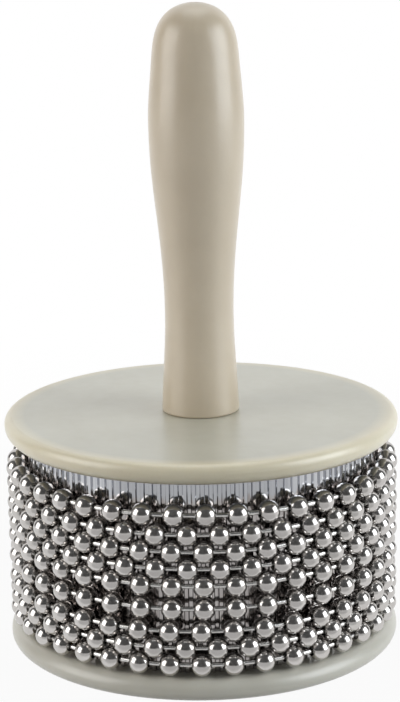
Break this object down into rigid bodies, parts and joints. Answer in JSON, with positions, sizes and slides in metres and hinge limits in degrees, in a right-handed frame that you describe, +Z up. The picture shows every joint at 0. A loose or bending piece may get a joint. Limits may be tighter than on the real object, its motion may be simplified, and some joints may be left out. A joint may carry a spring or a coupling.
{
  "type": "cabasa",
  "caption": "Hand-held cabasa: a ribbed steel drum between two ivory discs on a shaped grip, wrapped in loops of steel ball chain that turn round it and scrape the ribs.",
  "frame": {"origin": "centre of the bottom disc's underside, on the surface that the cabasa stands on", "axes": "+Z up the drum's axis into the handle, -Y towards the viewer of the picture, +X to the viewer's right"},
  "size_m": [0.1016, 0.1016, 0.1644],
  "materials": {
    "ivory_plastic": "semi-gloss moulded",
    "core_plastic": "matt moulded",
    "ribbed_steel": "bright rolled sheet",
    "bead_steel": "bright nickel plate",
    "link_wire": "bright drawn wire",
    "bolt_steel": "zinc plate",
    "insert_brass": "turned brass"
  },
  "bodies": {
    "drum_and_handle": {"handle": "ivory_plastic", "handle_insert": "insert_brass", "top_disc": "ivory_plastic", "bottom_disc": "ivory_plastic", "drum_core": "core_plastic", "drum_sleeve": "ribbed_steel", "tie_bolt": "bolt_steel", "tie_washer": "bolt_steel"},
    "chain_loop_1": {"chain_loop_1_beads": "bead_steel", "chain_loop_1_links": "link_wire"},
    "chain_loop_2": {"chain_loop_2_beads": "bead_steel", "chain_loop_2_links": "link_wire"},
    "chain_loop_3": {"chain_loop_3_beads": "bead_steel", "chain_loop_3_links": "link_wire"},
    "chain_loop_4": {"chain_loop_4_beads": "bead_steel", "chain_loop_4_links": "link_wire"},
    "chain_loop_5": {"chain_loop_5_beads": "bead_steel", "chain_loop_5_links": "link_wire"},
    "chain_loop_6": {"chain_loop_6_beads": "bead_steel", "chain_loop_6_links": "link_wire"},
    "chain_loop_7": {"chain_loop_7_beads": "bead_steel", "chain_loop_7_links": "link_wire"},
    "chain_loop_8": {"chain_loop_8_beads": "bead_steel", "chain_loop_8_links": "link_wire"},
    "chain_loop_9": {"chain_loop_9_beads": "bead_steel", "chain_loop_9_links": "link_wire"}
  },
  "joints": [
    {"name": "loop_1_turn", "type": "hinge", "parent": "drum_and_handle", "child": "chain_loop_1", "pos_m": [0, 0, 0.04687], "axis": [0, 0, 1], "continuous": true},
    {"name": "loop_2_turn", "type": "hinge", "parent": "drum_and_handle", "child": "chain_loop_2", "pos_m": [0, 0, 0.04197], "axis": [0, 0, 1], "continuous": true},
    {"name": "loop_3_turn", "type": "hinge", "parent": "drum_and_handle", "child": "chain_loop_3", "pos_m": [0, 0, 0.03765], "axis": [0, 0, 1], "continuous": true},
    {"name": "loop_4_turn", "type": "hinge", "parent": "drum_and_handle", "child": "chain_loop_4", "pos_m": [0, 0, 0.03332], "axis": [0, 0, 1], "continuous": true},
    {"name": "loop_5_turn", "type": "hinge", "parent": "drum_and_handle", "child": "chain_loop_5", "pos_m": [0, 0, 0.02899], "axis": [0, 0, 1], "continuous": true},
    {"name": "loop_6_turn", "type": "hinge", "parent": "drum_and_handle", "child": "chain_loop_6", "pos_m": [0, 0, 0.02319], "axis": [0, 0, 1], "continuous": true},
    {"name": "loop_7_turn", "type": "hinge", "parent": "drum_and_handle", "child": "chain_loop_7", "pos_m": [0, 0, 0.01739], "axis": [0, 0, 1], "continuous": true},
    {"name": "loop_8_turn", "type": "hinge", "parent": "drum_and_handle", "child": "chain_loop_8", "pos_m": [0, 0, 0.01307], "axis": [0, 0, 1], "continuous": true},
    {"name": "loop_9_turn", "type": "hinge", "parent": "drum_and_handle", "child": "chain_loop_9", "pos_m": [0, 0, 0.00874], "axis": [0, 0, 1], "continuous": true}
  ],
  "couplings": [
    {"joint": "loop_1_turn", "follows": "loop_2_turn", "ratio": 1},
    {"joint": "loop_3_turn", "follows": "loop_2_turn", "ratio": 1},
    {"joint": "loop_4_turn", "follows": "loop_2_turn", "ratio": 1},
    {"joint": "loop_5_turn", "follows": "loop_2_turn", "ratio": 1},
    {"joint": "loop_8_turn", "follows": "loop_7_turn", "ratio": 1},
    {"joint": "loop_9_turn", "follows": "loop_7_turn", "ratio": 1}
  ]
}
